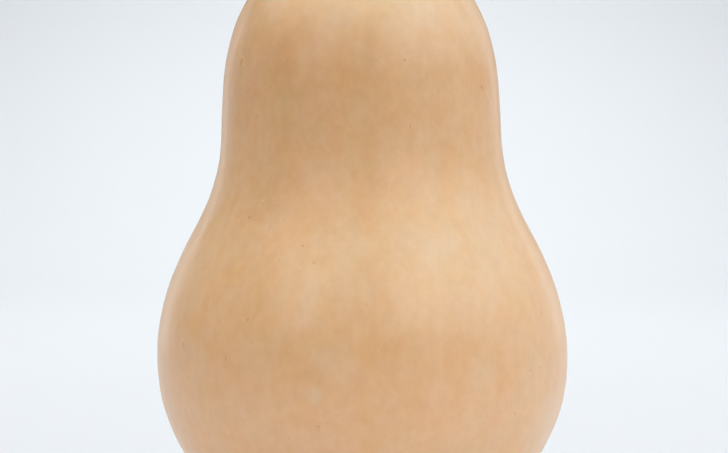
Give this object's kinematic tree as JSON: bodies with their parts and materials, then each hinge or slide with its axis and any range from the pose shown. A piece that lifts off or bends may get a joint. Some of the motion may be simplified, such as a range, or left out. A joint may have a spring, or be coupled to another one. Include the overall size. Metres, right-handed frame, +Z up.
{
  "type": "butternut squash",
  "caption": "Whole butternut squash with a round bulb, a thick neck, a smooth buff rind and a short cut woody stem, standing on its blossom end.",
  "frame": {"origin": "on the surface that the squash stands on, under the middle of the bulb", "axes": "+Z up along the fruit from its blossom end to its stem, -Y towards the front"},
  "size_m": [0.12, 0.1174, 0.1936],
  "materials": {
    "rind": "satin",
    "woody_stem": "matte"
  },
  "bodies": {
    "root": {"fruit": "rind", "stem": "woody_stem"}
  },
  "joints": []
}
